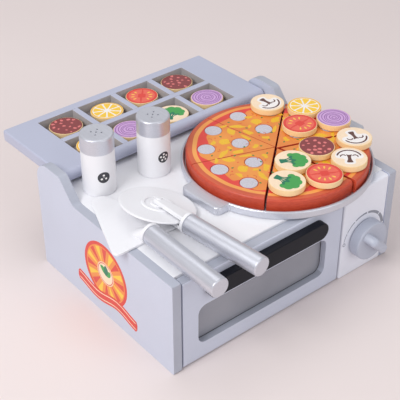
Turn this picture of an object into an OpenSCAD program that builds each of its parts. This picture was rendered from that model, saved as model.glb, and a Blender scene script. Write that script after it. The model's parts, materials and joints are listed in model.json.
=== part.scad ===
// Toy oven with a hinged topping lid, a pizza on its pan, shakers and two tools.
// Built from the body's outer left front bottom corner, then centred on the body's footprint.
// X runs to the right along the front, Y to the back and Z up, in millimetres.

/* [Body] */
// Width over the two side panels
body_w = 280; // [272:1:300]
// Depth of the side panels
body_d = 212.6; // [208:0.2:230]
// Height of the top board's upper face
body_h = 103.4; // [98:0.2:115]
// Thickness of each side panel
side_t = 9.3; // [8.5:0.1:11]
// Thickness of the base, top and divider boards
board_t = 8; // [7:0.5:9]
// Thickness of the back panel
back_t = 9; // [8:0.5:11]
// Radius of the softened edges of the door's back and the cutter's fork
edge_r = 1.2; // [0.6:0.1:1.6]
// Rise of the rear lobes above the top board
lobe_h = 22.2; // [20:0.2:26]
// Radius of the lobes' rear corner
lobe_r = 20.5; // [14:0.5:21]
// Length of the flat on top of each lobe
lobe_flat = 16.8; // [10:0.2:18]
// Slope of the ramp up to each lobe, in degrees
ramp_angle = 48; // [44:1:60]
// Radius at the head and the foot of the ramp
ramp_r = 9; // [5:0.5:10]

/* [Joinery] */
// Radius of the wooden dowels
dowel_r = 2.5; // [2:0.1:2.8]
// Depth of a dowel in the panel that it enters
dowel_in = 6; // [4:0.5:6.5]
// Depth of a dowel in the board that it holds
dowel_out = 14; // [8:0.5:20]
// Radial clearance of a glued dowel or fixed pin
glue_gap = 0.05; // [0.02:0.01:0.09]
// Radial clearance of a turning pin
turn_gap = 0.07; // [0.03:0.01:0.1]

/* [Door] */
// Thickness of the door and of the control panel
door_t = 10; // [9:0.5:12]
// Width of the door
door_w = 195.3; // [192:0.1:196]
// Gap at the door's left edge
door_side_gap = 1.9; // [1:0.1:3]
// Gap under the door's round lower edge
door_foot_gap = 0.5; // [0.3:0.1:1]
// Drop of the door's top below the top board
door_drop = 1.9; // [1:0.1:3]
// Gap between the door's back and the boards behind it
door_back_gap = 0.3; // [0.2:0.05:0.6]
// Radius of the door's front edges
door_round = 2.6; // [1.5:0.1:3]
// Width of the window opening
window_w = 158.9; // [140:0.1:164]
// Height of the window opening
window_h = 44.5; // [36:0.5:45]
// Height of the window's lower edge above the table
window_z = 20.5; // [19:0.5:24]
// Corner radius of the window opening
window_r = 9; // [6:0.5:12]
// Thickness of the window pane
pane_t = 2; // [1.5:0.1:2.5]
// Thickness of the frame that holds the pane
retainer_t = 1.2; // [1:0.1:1.5]
// Width of the ledge that the pane rests on
ledge_w = 4; // [3:0.5:5]
// Radius of the door's hinge pins
hinge_pin_r = 2; // [1.5:0.1:2.3]
// Depth of a hinge pin in the door
hinge_pin_in = 12; // [8:0.5:16]
// Radius of the catch magnets
magnet_r = 2; // [1.5:0.1:2.2]
// Length of the catch magnets
magnet_l = 8; // [5:0.5:12]

/* [Handle] */
// Length of the door handle
handle_l = 145; // [120:1:150]
// Height of the handle's front face
handle_h = 18.7; // [14:0.1:19]
// How far the handle stands out from the door
handle_out = 8.1; // [6:0.1:8.5]
// Height of the handle's middle above the table
handle_z = 83.85; // [80:0.05:85]
// Radius of the handle's softened edges
handle_round = 1; // [0.6:0.1:1.5]
// Radius of the handle's screws
screw_r = 1.6; // [1.2:0.1:2]
// Distance between the handle's two screws
screw_span = 110; // [90:1:115]

/* [Control panel] */
// Gap between the door and the control panel
panel_gap = 3.2; // [2:0.1:4]
// Radius of the control panel's front edges
panel_round = 2.5; // [1.5:0.1:3]
// Distance of the dial's centre from the right face of the body
dial_x = 38.9; // [36:0.1:42]
// Height of the dial's centre
dial_z = 41.4; // [36:0.1:50]
// Radius of the knob's disc
knob_r = 21; // [18:0.1:24]
// Thickness of the knob's disc
knob_t = 12.7; // [10:0.1:15]
// How far the grip stands out from the knob's disc
grip_out = 12; // [9:0.1:14]
// Thickness of the grip
grip_t = 10; // [8:0.1:12]
// Length of the grip where it joins the disc
grip_l = 38; // [34:0.1:40]
// Radius of the grip's edges
grip_round = 3.5; // [2:0.1:3.9]
// Turn of the grip to the right, in degrees
grip_turn = 45; // [0:5:90]
// Radius of the knob's shaft
shaft_r = 3; // [2.5:0.1:4]

/* [Lid] */
// Thickness of the lid
lid_t = 12.5; // [11.5:0.1:14]
// Gap between the lid and each lobe
lid_gap = 1.2; // [0.8:0.1:2]
// Distance of the pivot from the body's rear face
pivot_back = 23.6; // [21:0.1:25]
// Distance of the pivot behind the centre of the lid's round front edge
pivot_set = 1.55; // [1:0.05:2]
// Gap between the top board and the lid's front edge as it turns
lid_clear = 0.6; // [0.4:0.1:1.5]
// Distance from the pivot to the lid's rear edge
lid_reach = 105; // [102:0.5:115]
// How far the lid droops to the rear, in degrees
lid_droop = 1.72; // [1:0.02:2]
// Side of a square compartment
cell = 42.2; // [39.5:0.1:42.4]
// Distance between the centres of two columns
pitch_x = 48.9; // [48:0.1:52]
// Distance between the centres of two rows
pitch_y = 49.5; // [49:0.1:50.5]
// Distance from the pivot to the centre of the front row
row_y = 22.8; // [22.6:0.1:24]
// Thickness of the lid's floor panel
floor_t = 2.2; // [1.8:0.1:2.4]
// Radius of the lid's pivot dowels
pivot_r = 3; // [2.5:0.1:3.5]
// Depth of a pivot dowel in the lid
pivot_in = 25; // [18:0.5:28]

/* [Toppings] */
// Radius of a topping
topping_r = 17.5; // [16:0.05:17.6]
// Thickness of a topping's wooden disc
topping_t = 6; // [5:0.1:7]
// Radius of the hook pads
pad_r = 8.5; // [7:0.1:8.8]
// Thickness of the hook pads
pad_t = 0.8; // [0.6:0.1:1.2]

/* [Pizza and pan] */
// Outer radius of the pan
pan_r = 95.6; // [94:0.1:97]
// Height of the pan
pan_h = 8.5; // [7:0.1:10]
// Thickness of the pan's floor
pan_floor = 3; // [2.5:0.1:4]
// Thickness of the pan's wall
pan_wall = 3; // [2.5:0.1:3.4]
// Width of the pan's grips
tab_w = 51; // [40:1:56]
// How far a grip stands out from the pan's wall
tab_out = 10.9; // [8:0.1:14]
// Turn of the pan's grips, in degrees
tab_turn = 3.7; // [0:0.1:6]
// Radius of the pizza
pizza_r = 88.6; // [88:0.1:89]
// Height of the pizza slices
slice_h = 15; // [13:0.1:17]
// Radius of a slice's upper outer edge
crust_r = 3; // [2:0.1:4]
// Shift of a slice outwards, which opens the cuts
cut_shift = 0.5; // [0.4:0.05:0.8]
// Direction of the first cut, in degrees
first_cut = 41; // [39:1:43]

/* [Shakers] */
// Radius of a shaker
shaker_r = 16.3; // [15:0.1:16.8]
// Height of a shaker's body
shaker_h = 46; // [40:0.5:52]
// Height of a shaker's cap
cap_h = 16.5; // [12:0.5:20]
// Radius of the holes in a cap
cap_hole_r = 0.9; // [0.6:0.1:1.2]

/* [Tools] */
// Radius of both tool handles
tool_r = 9.5; // [8.5:0.1:9.8]
// Radius of the collars
collar_r = 10.1; // [10:0.05:10.5]
// Length of a collar
collar_l = 3; // [2:0.1:3.5]
// Gap between what lies loose and what it lies on
rest_gap = 0.3; // [0.2:0.05:0.4]
// Length of the server's handle
server_l = 94.4; // [80:0.1:100]
// Thickness of the server's blade
blade_t = 2.5; // [1.8:0.1:2.6]
// Half width of the server's blade
blade_half = 36.5; // [32:0.1:36.8]
// Radius of the blade's rear corners
blade_corner = 5; // [3:0.5:8]
// Radius of the blade's tip
blade_tip_r = 10; // [8:0.5:11]
// Length of the blade
blade_l = 84; // [76:0.5:84.5]
// Length of the cutter's handle
cutter_l = 86.9; // [80:0.1:87.5]
// Radius of the cutter's wheel
wheel_r = 36.4; // [34:0.1:36.7]
// Thickness of the wheel's rim
rim_t = 3; // [2.5:0.1:3.5]
// Thickness of the wheel's hub
hub_t = 5; // [4.5:0.1:5.2]
// Thickness of each fork arm
arm_t = 3.7; // [3:0.1:3.9]
// Half width of the fork at its root
arm_half = 8; // [6:0.1:8.5]
// Half width of the fork at the axle
tip_half = 5; // [4.5:0.1:6]
// Roll of the cutter about its own length, in degrees
cutter_roll = 14.5; // [13:0.5:16]
// Turn of the cutter towards the left, in degrees
cutter_yaw = 6.9; // [6:0.1:7.5]
// Radius of the cutter's axle
axle_r = 2; // [1.5:0.1:2.4]

/* [Hidden] */
$fn = 64;
steps = 3; // facets of a rounded edge
cut = 1; // how far a cut runs past a face

// Body
lobe_top = body_h + lobe_h;
boards_y = door_t + door_back_gap; // front edge of the inner boards
back_y = body_d - back_t; // front face of the back panel
inner_w = body_w - 2 * side_t;
dowel_y = [0.19, 0.75] * body_d;
back_dowel_z = [0.3, 0.73] * body_h;
divider_dowel_y = [0.33, 0.7] * body_d;

// Door, from its left lower hinge corner
door_x = side_t + door_side_gap;
door_h = body_h - door_drop - door_foot_gap;
door_pin_y = door_t / 2;
door_pin_z = door_foot_gap + door_t / 2;
window_shift = 0.9; // how far the window sits left of the door's middle
window_x = door_x + (door_w - window_w) / 2 - window_shift;
pane_back = door_t - retainer_t;
handle_x = window_x + window_w / 2;
divider_in = 6.5; // from the door's right edge to the divider's right face
divider_x = door_x + door_w - divider_in - board_t;
panel_x = door_x + door_w + panel_gap;
panel_w = body_w - side_t - panel_x;
magnet_rise = 2.9; // from the top board's lower face to a magnet's middle
magnet_z = body_h - board_t + magnet_rise;
magnet_x = [0.21, 0.57] * body_w;
strike_t = 1;

// Lid, about its pivot
nose_r = lid_t / 2;
nose_reach = nose_r + pivot_set;
pivot_y = body_d - pivot_back;
pivot_z = body_h + lid_clear + nose_reach;
lid_w = inner_w - 2 * lid_gap;
cell_floor = -lid_t / 2 + floor_t + rest_gap;
cells_w = 3 * pitch_x + cell;
cells_y0 = row_y - cell / 2;
cells_l = pitch_y + cell;
floor_margin = 4;
lid_round = 2;
panel_drop = 0.4; // drop of the control panel's top below the top board
cap_round = 1.8;
back_top = pivot_z - pivot_back * tan(lid_droop) - lid_t / 2 / cos(lid_droop) - rest_gap;

// Cutter, along its own axis from its front end
cutter_front = [69.7, -35.6];
slot_gap = 0.3;
rim_gap = 0.9; // between the wheel's rim and the fork's root
wheel_at = cutter_l + collar_l + wheel_r + rim_gap;
wheel_z = rest_gap + wheel_r * sin(cutter_roll) + rim_t / 2 * cos(cutter_roll);
collar_at = cutter_l + collar_l / 2;
axis_z = rest_gap + collar_r;
cutter_pitch = asin((wheel_z - axis_z) / (wheel_at - collar_at));
cutter_z = body_h + axis_z - collar_at * sin(cutter_pitch);
slot_half = hub_t / 2 + slot_gap;
wheel_x = cutter_front[0] - wheel_at * sin(cutter_yaw);
wheel_reach = wheel_r * cos(cutter_roll) + rim_t / 2 * sin(cutter_roll);

// Server
server_x = 23.4;
server_front = -35;
server_z = body_h + axis_z;
tang_r = 3;
tang_l = 12;

// Pan, to the right of the wheel and in front of the lid
wheel_gap = 1.9; // between the wheel and the pan's grip
lid_gap_y = 1.1; // between the lid's front edge and the pan
tab_round = 6; // corner radius of the grips
pan_x = wheel_x + wheel_reach + wheel_gap + tab_out + pan_r;
pan_y = pivot_y - nose_reach - lid_gap_y - pan_r;
slice_z = body_h + pan_floor;
slice_top = slice_z + slice_h;
slice_angle = 60;
pad_inner = 0.395 * pizza_r;
pad_outer = 0.768 * pizza_r;
pad_spread = 15; // degrees to each side of a slice's middle

// Shakers
salt_gap = 4.3; // between the lid's front edge and the salt shaker
salt_at = [37.7, pivot_y - nose_reach - salt_gap - shaker_r];
pepper_back = 0.713 * pan_r; // how far the pepper shaker stands behind the pan's middle
pepper_at = [97.3, pan_y + pepper_back];
spigot_r = 8;
spigot_l = 8;

// Toppings in the lid: name, look, column, row, and offset from the compartment's centre
STORED = [
  ["stored_salami_1", "maroon", 0, 1, [0.4, 2]],
  ["stored_lemon_1", "gold", 1, 1, [1.8, 0]],
  ["stored_tomato", "tomato", 2, 1, [0.2, 2]],
  ["stored_salami_2", "maroon", 3, 1, [-0.8, 2]],
  ["stored_lemon_2", "gold", 0, 0, [0.6, 1.4]],
  ["stored_onion_1", "plum", 1, 0, [-2.4, 2]],
  ["stored_broccoli", "cornsilk", 2, 0, [1, -0.7]],
  ["stored_onion_2", "plum", 3, 0, [2.2, 2.4]]
];
// Toppings on the pizza: name, look, distance from the pan's middle as a share of the
// pizza's radius, and direction
SERVED = [
  ["mushroom_1", "cornsilk", 0.863, 55.4],
  ["tomato_1", "tomato", 0.472, 15.6],
  ["lemon", "gold", 0.854, 26],
  ["onion", "plum", 0.845, 358.2],
  ["mushroom_2", "cornsilk", 0.864, 327.7],
  ["salami", "maroon", 0.43, 308.8],
  ["mushroom_3", "cornsilk", 0.815, 297.9],
  ["broccoli_1", "cornsilk", 0.395, 251],
  ["broccoli_2", "cornsilk", 0.762, 234.3],
  ["tomato_2", "tomato", 0.771, 266.6]
];
// Slices: name, centre from the pan's middle, place in the turn, and turn of the pads
SLICES = [
  ["slice_a", [-1.3, 2.2], 0, -4.5],
  ["slice_b", [-1.3, 2.2], 1, -2],
  ["slice_c", [-1.3, 2.2], 2, 0],
  ["slice_d", [-1.3, 0.1], 3, 0],
  ["slice_e", [1.0, -2.2], 4, 0],
  ["slice_f", [-1.7, 0.5], 5, 0]
];

body_grey = [0.80, 0.82, 0.87];
silver = [0.75, 0.75, 0.77];
white = [0.94, 0.94, 0.95];

// ---- Outlines: lists of points, anticlockwise ----

// Points of an arc about c, from angle a0 to a1
function arc(c, r, a0, a1, n = 6) =
  [for (i = [0:n]) c + r * [cos(a0 + (a1 - a0) * i / n), sin(a0 + (a1 - a0) * i / n)]];
// Rectangle with its own radius at each corner: lower left, lower right, upper right, upper left
function box_outline(lo, hi, r) = concat(
  arc(lo + [r[0], r[0]], r[0], 180, 270),
  arc([hi[0] - r[1], lo[1] + r[1]], r[1], 270, 360),
  arc(hi - [r[2], r[2]], r[2], 0, 90),
  arc([lo[0] + r[3], hi[1] - r[3]], r[3], 90, 180));
// Direction of the straight edge's normal between two circles, on their right side
function edge_normal(c1, r1, c2, r2) =
  atan2(c2[1] - c1[1], c2[0] - c1[0]) - acos((r1 - r2) / norm(c2 - c1));
function unit(v) = v / norm(v);
function left_of(v) = [-v[1], v[0]];
// The outline moved inwards by e, with the same number of points
function inset(pts, e) = let (n = len(pts)) [for (i = [0:n - 1])
  let (a = left_of(unit(pts[i] - pts[(i + n - 1) % n])), b = left_of(unit(pts[(i + 1) % n] - pts[i])))
  pts[i] + e * (a + b) / (1 + a * b)];

// ---- Solids from outlines ----

// Solid through copies of an outline; each ring is [inset, height]
module loft(pts, rings) {
  n = len(pts);
  last = (len(rings) - 1) * n;
  polyhedron(
    points = [for (ring = rings) for (p = inset(pts, ring[0])) [p[0], p[1], ring[1]]],
    faces = concat(
      [[for (i = [0:n - 1]) i]],
      [for (j = [0:len(rings) - 2]) for (i = [0:n - 1])
        [j * n + i, (j + 1) * n + i, (j + 1) * n + (i + 1) % n, j * n + (i + 1) % n]],
      [[for (i = [n - 1:-1:0]) last + i]]));
}
// Board of thickness t with rounded lower and upper edges
module slab(pts, t, r_low = edge_r, r_high = edge_r) {
  loft(pts, concat(
    [for (k = [0:steps]) let (a = 90 * k / steps) [r_low * (1 - sin(a)), r_low * (1 - cos(a))]],
    [for (k = [steps:-1:0]) let (a = 90 * k / steps)
      [r_high * (1 - sin(a)), t - r_high * (1 - cos(a))]]));
}
// Outline in (y, z), raised along X from x
module along_x(x) translate([x, 0, 0]) rotate([90, 0, 90]) children();
// Outline in (x, z), raised towards the front from y
module to_front(y) translate([0, y, 0]) rotate([90, 0, 0]) children();
module pin_x(x, y, z, r, l) translate([x, y, z]) rotate([0, 90, 0]) cylinder(r = r, h = l);
module pin_y(x, y, z, r, l) translate([x, y, z]) rotate([-90, 0, 0]) cylinder(r = r, h = l);
module box(lo, hi) translate(lo) cube(hi - lo);
module centred() translate([-body_w / 2, -body_d / 2, 0]) children();

// ---- Body ----

function side_outline() =
  let (flat_y = body_d - lobe_r - lobe_flat, corner = 2,
    foot_y = flat_y - 2 * ramp_r * sin(ramp_angle)
      - (lobe_h - 2 * ramp_r * (1 - cos(ramp_angle))) / tan(ramp_angle))
  concat(
    arc([corner, corner], corner, 180, 270, 2),
    arc([body_d - corner, corner], corner, 270, 360, 2),
    arc([body_d - lobe_r, lobe_top - lobe_r], lobe_r, 0, 90, 12),
    arc([flat_y, lobe_top - ramp_r], ramp_r, 90, 90 + ramp_angle),
    arc([foot_y, body_h + ramp_r], ramp_r, ramp_angle - 90, -90),
    arc([corner, body_h - corner], corner, 90, 180, 2));

// Dowels grown by g, so that the same list cuts their bores
module dowels(g) {
  reach = dowel_in + dowel_out;
  low_z = board_t / 2;
  high_z = body_h - board_t / 2;
  across = concat([for (y = dowel_y, z = [low_z, high_z]) [y, z]],
    [for (z = back_dowel_z) [body_d - back_t / 2, z]]);
  for (p = across) {
    pin_x(side_t - dowel_in - g, p[0], p[1], dowel_r + g, reach + 2 * g);
    pin_x(body_w - side_t - dowel_out - g, p[0], p[1], dowel_r + g, reach + 2 * g);
  }
  for (x = [panel_x + 14, panel_x + panel_w - 10], z = [low_z, high_z])
    pin_y(x, boards_y - dowel_in - g, z, dowel_r + g, reach + 2 * g);
  for (y = divider_dowel_y) {
    translate([divider_x + board_t / 2, y, board_t - dowel_in - g])
      cylinder(r = dowel_r + g, h = reach + 2 * g);
    translate([divider_x + board_t / 2, y, body_h - board_t - dowel_out - g])
      cylinder(r = dowel_r + g, h = reach + 2 * g);
  }
}
module hinge_pins(g) {
  pin_x(side_t - dowel_in - g, door_pin_y, door_pin_z, hinge_pin_r + g,
    dowel_in + door_side_gap + hinge_pin_in + g);
  pin_x(door_x + door_w - hinge_pin_in, door_pin_y, door_pin_z, hinge_pin_r + g,
    hinge_pin_in + panel_gap + dowel_in + g);
}
module pivot_dowels(g) {
  length = dowel_in + lid_gap + pivot_in;
  pin_x(side_t - dowel_in - g, pivot_y, pivot_z, pivot_r + g, length + g);
  pin_x(body_w - side_t - lid_gap - pivot_in, pivot_y, pivot_z, pivot_r + g, length + g);
}
module side_panel(x) {
  color(body_grey) difference() {
    along_x(x) linear_extrude(side_t) polygon(side_outline());
    dowels(glue_gap);
    hinge_pins(glue_gap);
    pivot_dowels(glue_gap);
  }
}
module left_side_panel() centred() side_panel(0);
module right_side_panel() centred() side_panel(body_w - side_t);
module base_board() {
  centred() color(body_grey) difference() {
    box([side_t, boards_y, 0], [body_w - side_t, back_y, board_t]);
    dowels(glue_gap);
  }
}
module magnets(g) {
  for (x = magnet_x) pin_y(x, boards_y - (g > 0 ? cut : 0), magnet_z, magnet_r + g,
    magnet_l + g + (g > 0 ? cut : 0));
}
module top_board() {
  centred() color(white) difference() {
    box([side_t, boards_y, body_h - board_t], [body_w - side_t, back_y, body_h]);
    dowels(glue_gap);
    magnets(glue_gap);
  }
}
module back_panel() {
  centred() color(body_grey) difference() {
    box([side_t, back_y, 0], [body_w - side_t, body_d, back_top]);
    dowels(glue_gap);
  }
}
module divider_panel() {
  centred() color(body_grey) difference() {
    box([divider_x, boards_y, board_t], [divider_x + board_t, back_y, body_h - board_t]);
    dowels(glue_gap);
  }
}
module control_panel() {
  outline = box_outline([panel_x, 0], [panel_x + panel_w, body_h - panel_drop],
    (panel_round + 0.3) * [1, 1, 1, 1]);
  centred() color(white) difference() {
    to_front(boards_y) slab(outline, boards_y, 0.5, panel_round);
    dowels(glue_gap);
    hinge_pins(glue_gap);
    pin_y(body_w - dial_x, -cut, dial_z, shaft_r + turn_gap, boards_y + 2 * cut);
  }
}
module assembly_dowels() centred() color("burlywood") dowels(0);
module door_hinge_pins() centred() color(silver) hinge_pins(0);
module lid_pivot_dowels() centred() color("burlywood") pivot_dowels(0);
module catch_magnets() centred() color("dimgray") magnets(0);

// ---- Door ----

function window_outline(grow) = box_outline([window_x - grow, window_z - grow],
  [window_x + window_w + grow, window_z + window_h + grow], window_r * [1, 1, 1, 1]);
module strikes(g) {
  for (x = magnet_x) pin_y(x, door_t - strike_t - g, magnet_z, magnet_r + 0.4 + g,
    strike_t + g + (g > 0 ? cut : 0));
}
module screws(g) {
  for (s = [-1, 1]) translate([handle_x + s * screw_span / 2, 0, handle_z]) rotate([-90, 0, 0]) {
    translate([0, 0, 3 - handle_out - g]) cylinder(r = screw_r + g, h = door_t + handle_out - 3 + g);
    translate([0, 0, door_t - 2 - g]) cylinder(r = 2 * screw_r + g, h = 2 + g + (g > 0 ? cut : 0));
  }
}
module door_frame() {
  half = door_t / 2;
  outline = concat(
    arc([half, door_pin_z], half, 180, 360, 10),
    arc([door_t - edge_r, door_foot_gap + door_h - edge_r], edge_r, 0, 90, 2),
    arc([door_round, door_foot_gap + door_h - door_round], door_round, 90, 180));
  centred() color(body_grey) difference() {
    along_x(door_x) linear_extrude(door_w) polygon(outline);
    to_front(door_t + cut) linear_extrude(door_t + 2 * cut) polygon(window_outline(0));
    to_front(door_t + cut) linear_extrude(cut + retainer_t + pane_t) polygon(window_outline(ledge_w));
    pin_x(door_x - cut, door_pin_y, door_pin_z, hinge_pin_r + turn_gap, cut + hinge_pin_in + 0.3);
    pin_x(door_x + door_w - hinge_pin_in - 0.3, door_pin_y, door_pin_z, hinge_pin_r + turn_gap,
      cut + hinge_pin_in + 0.3);
    strikes(glue_gap);
    screws(glue_gap);
  }
}
module door_window() {
  centred() color([0.6, 0.6, 0.66, 0.5])
    to_front(pane_back) linear_extrude(pane_t) polygon(window_outline(ledge_w - 0.1));
}
module window_retainer() {
  centred() color("gray") to_front(door_t) linear_extrude(retainer_t) difference() {
    polygon(window_outline(ledge_w - 0.1));
    polygon(window_outline(0.5));
  }
}
module door_handle() {
  r = handle_h / 2;
  outline = concat(
    arc([handle_x + handle_l / 2 - r, handle_z], r, -90, 90, 12),
    arc([handle_x - handle_l / 2 + r, handle_z], r, 90, 270, 12));
  centred() color([0.1, 0.1, 0.11]) difference() {
    to_front(0) slab(outline, handle_out, 0.3, handle_round);
    screws(glue_gap);
  }
}
module handle_screws() centred() color(silver) screws(0);
module strike_plates() centred() color(silver) strikes(0);

// ---- Knob ----

module at_dial() centred() translate([body_w - dial_x, 0, dial_z]) rotate([0, grip_turn, 0]) children();
module shaft(g) pin_y(0, 3 - knob_t, 0, shaft_r + g, knob_t - 3 + boards_y + 6);
module knob() {
  corner = grip_round + 2;
  reach = grip_l / 2 - 5 - corner;
  foot = grip_round + 0.5 - knob_t;
  outline = concat(
    [[grip_l / 2, foot], [-grip_l / 2, foot]],
    arc([-reach, corner - knob_t - grip_out], corner, 180, 270),
    arc([reach, corner - knob_t - grip_out], corner, 270, 360));
  at_dial() color([0.62, 0.63, 0.68]) difference() {
    union() {
      rotate([90, 0, 0]) rotate_extrude() polygon(concat(
        [[0, rest_gap], [knob_r - 1, rest_gap], [knob_r, rest_gap + 1]],
        arc([knob_r - 2, knob_t - 2], 2, 0, 90), [[0, knob_t]]));
      translate([0, 0, -grip_t / 2]) slab(outline, grip_t, grip_round, grip_round);
    }
    shaft(glue_gap);
  }
}
module knob_shaft() {
  at_dial() color("burlywood") difference() {
    shaft(0);
    pin_y(0, boards_y - 4, 0, 1 + glue_gap, 12);
  }
}
module knob_washer() {
  at_dial() color(silver) difference() {
    pin_y(0, boards_y + rest_gap, 0, shaft_r + 4, 1.5);
    pin_y(0, boards_y, 0, shaft_r + glue_gap, 4);
  }
}
module knob_screw() {
  at_dial() color(silver) {
    pin_y(0, boards_y - 3, 0, 1, 9);
    pin_y(0, boards_y + 6, 0, 2.6, 1.8);
  }
}

// ---- Lid ----

module at_lid() centred() translate([body_w / 2, pivot_y, pivot_z]) rotate([-lid_droop, 0, 0]) children();
module lid_frame() {
  outline = concat(
    arc([nose_r - nose_reach, 0], nose_r, 90, 270, 12),
    arc([lid_reach - lid_round, lid_round - lid_t / 2], lid_round, 270, 360, 3),
    arc([lid_reach - lid_round, lid_t / 2 - lid_round], lid_round, 0, 90, 3));
  color(body_grey) difference() {
    at_lid() along_x(-lid_w / 2) slab(outline, lid_w, lid_round - 0.2, lid_round - 0.2);
    at_lid() box([-cells_w / 2, cells_y0, -lid_t], [cells_w / 2, cells_y0 + cells_l, lid_t]);
    at_lid() box([-cells_w / 2 - floor_margin, cells_y0 - floor_margin, -lid_t],
      [cells_w / 2 + floor_margin, cells_y0 + cells_l + floor_margin, cell_floor]);
    centred() translate([0, pivot_y, pivot_z]) for (s = [0, 1])
      translate([s == 0 ? side_t : body_w - side_t - lid_gap - pivot_in - 0.3, 0, 0])
        rotate([0, 90, 0]) cylinder(r = pivot_r + turn_gap, h = lid_gap + pivot_in + 0.3);
  }
}
module lid_dividers() {
  wall_x = pitch_x - cell;
  wall_y = pitch_y - cell;
  at_lid() color("rosybrown") {
    box([-cells_w / 2, cells_y0 + cell, cell_floor], [cells_w / 2, cells_y0 + cell + wall_y, lid_t / 2]);
    for (x = [-pitch_x, 0, pitch_x], y = [cells_y0, cells_y0 + pitch_y])
      box([x - wall_x / 2, y + glue_gap, cell_floor], [x + wall_x / 2, y + cell - glue_gap, lid_t / 2]);
  }
}
module lid_floor() {
  margin = floor_margin - 0.1;
  at_lid() color("lightsteelblue")
    box([-cells_w / 2 - margin, cells_y0 - margin, rest_gap - lid_t / 2],
      [cells_w / 2 + margin, cells_y0 + cells_l + margin, cell_floor]);
}

// ---- Toppings ----

module topping(look) {
  color("lavender") cylinder(r = pad_r, h = pad_t - glue_gap);
  color(look) translate([0, 0, pad_t]) rotate_extrude() polygon(concat(
    [[0, 0]], arc([topping_r - 0.5, 0.5], 0.5, 270, 360, 2),
    arc([topping_r - 0.5, topping_t - 0.5], 0.5, 0, 90, 2), [[0, topping_t]]));
}
module stored_topping(t) {
  at_lid() translate([(t[2] - 1.5) * pitch_x + t[4][0], row_y + t[3] * pitch_y + t[4][1], cell_floor])
    topping(t[1]);
}
module served_topping(t) {
  out = t[2] * pizza_r;
  centred() translate([pan_x + out * cos(t[3]), pan_y + out * sin(t[3]), slice_top])
    topping(t[1]);
}

// ---- Pizza and pan ----

module pizza_pan() {
  reach = pan_r + tab_out;
  outline = box_outline([-reach, -tab_w / 2], [reach, tab_w / 2], tab_round * [1, 1, 1, 1]);
  centred() translate([pan_x, pan_y, body_h]) color(silver) difference() {
    linear_extrude(pan_h) {
      circle(pan_r, $fn = 96);
      rotate([0, 0, tab_turn]) polygon(outline);
    }
    translate([0, 0, pan_floor]) cylinder(r = pan_r - pan_wall, h = pan_h, $fn = 96);
  }
}
module slice(s) {
  r = pizza_r - cut_shift;
  start = first_cut + slice_angle * s[2];
  middle = start + slice_angle / 2;
  turned = middle + s[3];
  pads = [[pad_inner, turned], [pad_outer, turned - pad_spread], [pad_outer, turned + pad_spread]];
  centred() translate([pan_x + s[1][0], pan_y + s[1][1], slice_z]) {
    color("firebrick") difference() {
      translate(cut_shift * [cos(middle), sin(middle), 0]) rotate([0, 0, start])
        rotate_extrude(angle = slice_angle, $fn = 96) polygon(concat(
          [[0, 0], [r, 0]], arc([r - crust_r, slice_h - crust_r], crust_r, 0, 90), [[0, slice_h]]));
      for (p = pads) translate([p[0] * cos(p[1]), p[0] * sin(p[1]), slice_h - pad_t])
        cylinder(r = pad_r + 0.5, h = pad_t + cut);
    }
    color("lavender") for (p = pads)
      translate([p[0] * cos(p[1]), p[0] * sin(p[1]), slice_h - pad_t + glue_gap])
        cylinder(r = pad_r, h = pad_t - glue_gap);
  }
}

// ---- Shakers ----

module shaker_body(at) {
  centred() translate([at[0], at[1], body_h]) color(white) difference() {
    rotate_extrude() polygon(concat([[0, 0]],
      arc([shaker_r - 0.8, 0.8], 0.8, 270, 360, 3), [[shaker_r, shaker_h], [0, shaker_h]]));
    translate([0, 0, shaker_h - spigot_l - 0.3]) cylinder(r = spigot_r + glue_gap, h = spigot_l + cut);
  }
}
module shaker_cap(at) {
  centred() translate([at[0], at[1], body_h + shaker_h]) color(silver) difference() {
    union() {
      rotate_extrude() polygon(concat([[0, 0], [shaker_r, 0]],
        arc([shaker_r - cap_round, cap_h - cap_round], cap_round, 0, 90), [[0, cap_h]]));
      translate([0, 0, -spigot_l]) cylinder(r = spigot_r, h = spigot_l);
    }
    translate([0, 0, cap_h - 2.5]) {
      cylinder(r = cap_hole_r, h = 4);
      for (a = [45:90:315]) rotate([0, 0, a]) translate([5, 0, 0]) cylinder(r = cap_hole_r, h = 4);
    }
  }
}
module salt_body() shaker_body(salt_at);
module salt_cap() shaker_cap(salt_at);
module pepper_body() shaker_body(pepper_at);
module pepper_cap() shaker_cap(pepper_at);

// ---- Tools ----

// Handle along +Y from its front end, bored for the tang
module tool_handle(l) {
  color(silver) difference() {
    rotate([-90, 0, 0]) rotate_extrude() polygon(concat([[0, 0]],
      arc([tool_r - 1.5, 1.5], 1.5, 270, 360, 3), arc([tool_r - 1, l - 1], 1, 0, 90, 3), [[0, l]]));
    pin_y(0, l - tang_l - 0.3, 0, tang_r + glue_gap, tang_l + cut);
  }
}
// Collar and tang, from the end of a handle of length l
module collar(l) {
  pin_y(0, l, 0, collar_r, collar_l);
  pin_y(0, l - tang_l, 0, tang_r, tang_l + 1);
}
module at_server() centred() translate([server_x, server_front, server_z]) children();
module server_handle() at_server() tool_handle(server_l);
module server_blade() {
  rear = server_l + collar_l + rest_gap;
  corner = [blade_half - blade_corner, rear + blade_corner];
  tip = [0, rear + blade_l - blade_tip_r];
  side = edge_normal(corner, blade_corner, tip, blade_tip_r);
  outline = concat(
    arc(corner, blade_corner, -90, side), arc(tip, blade_tip_r, side, 180 - side, 12),
    arc([-corner[0], corner[1]], blade_corner, 180 - side, 270));
  at_server() color(white) {
    translate([0, 0, rest_gap - axis_z]) slab(outline, blade_t, 0.5, 0.8);
    collar(server_l);
    hull() {
      pin_y(0, server_l + collar_l - 0.5, 0, 5.5, 2, $fn = 32);
      translate([0, rear + 12, rest_gap - axis_z + 0.5]) cylinder(r = 8, h = blade_t, $fn = 32);
    }
  }
}
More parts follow.
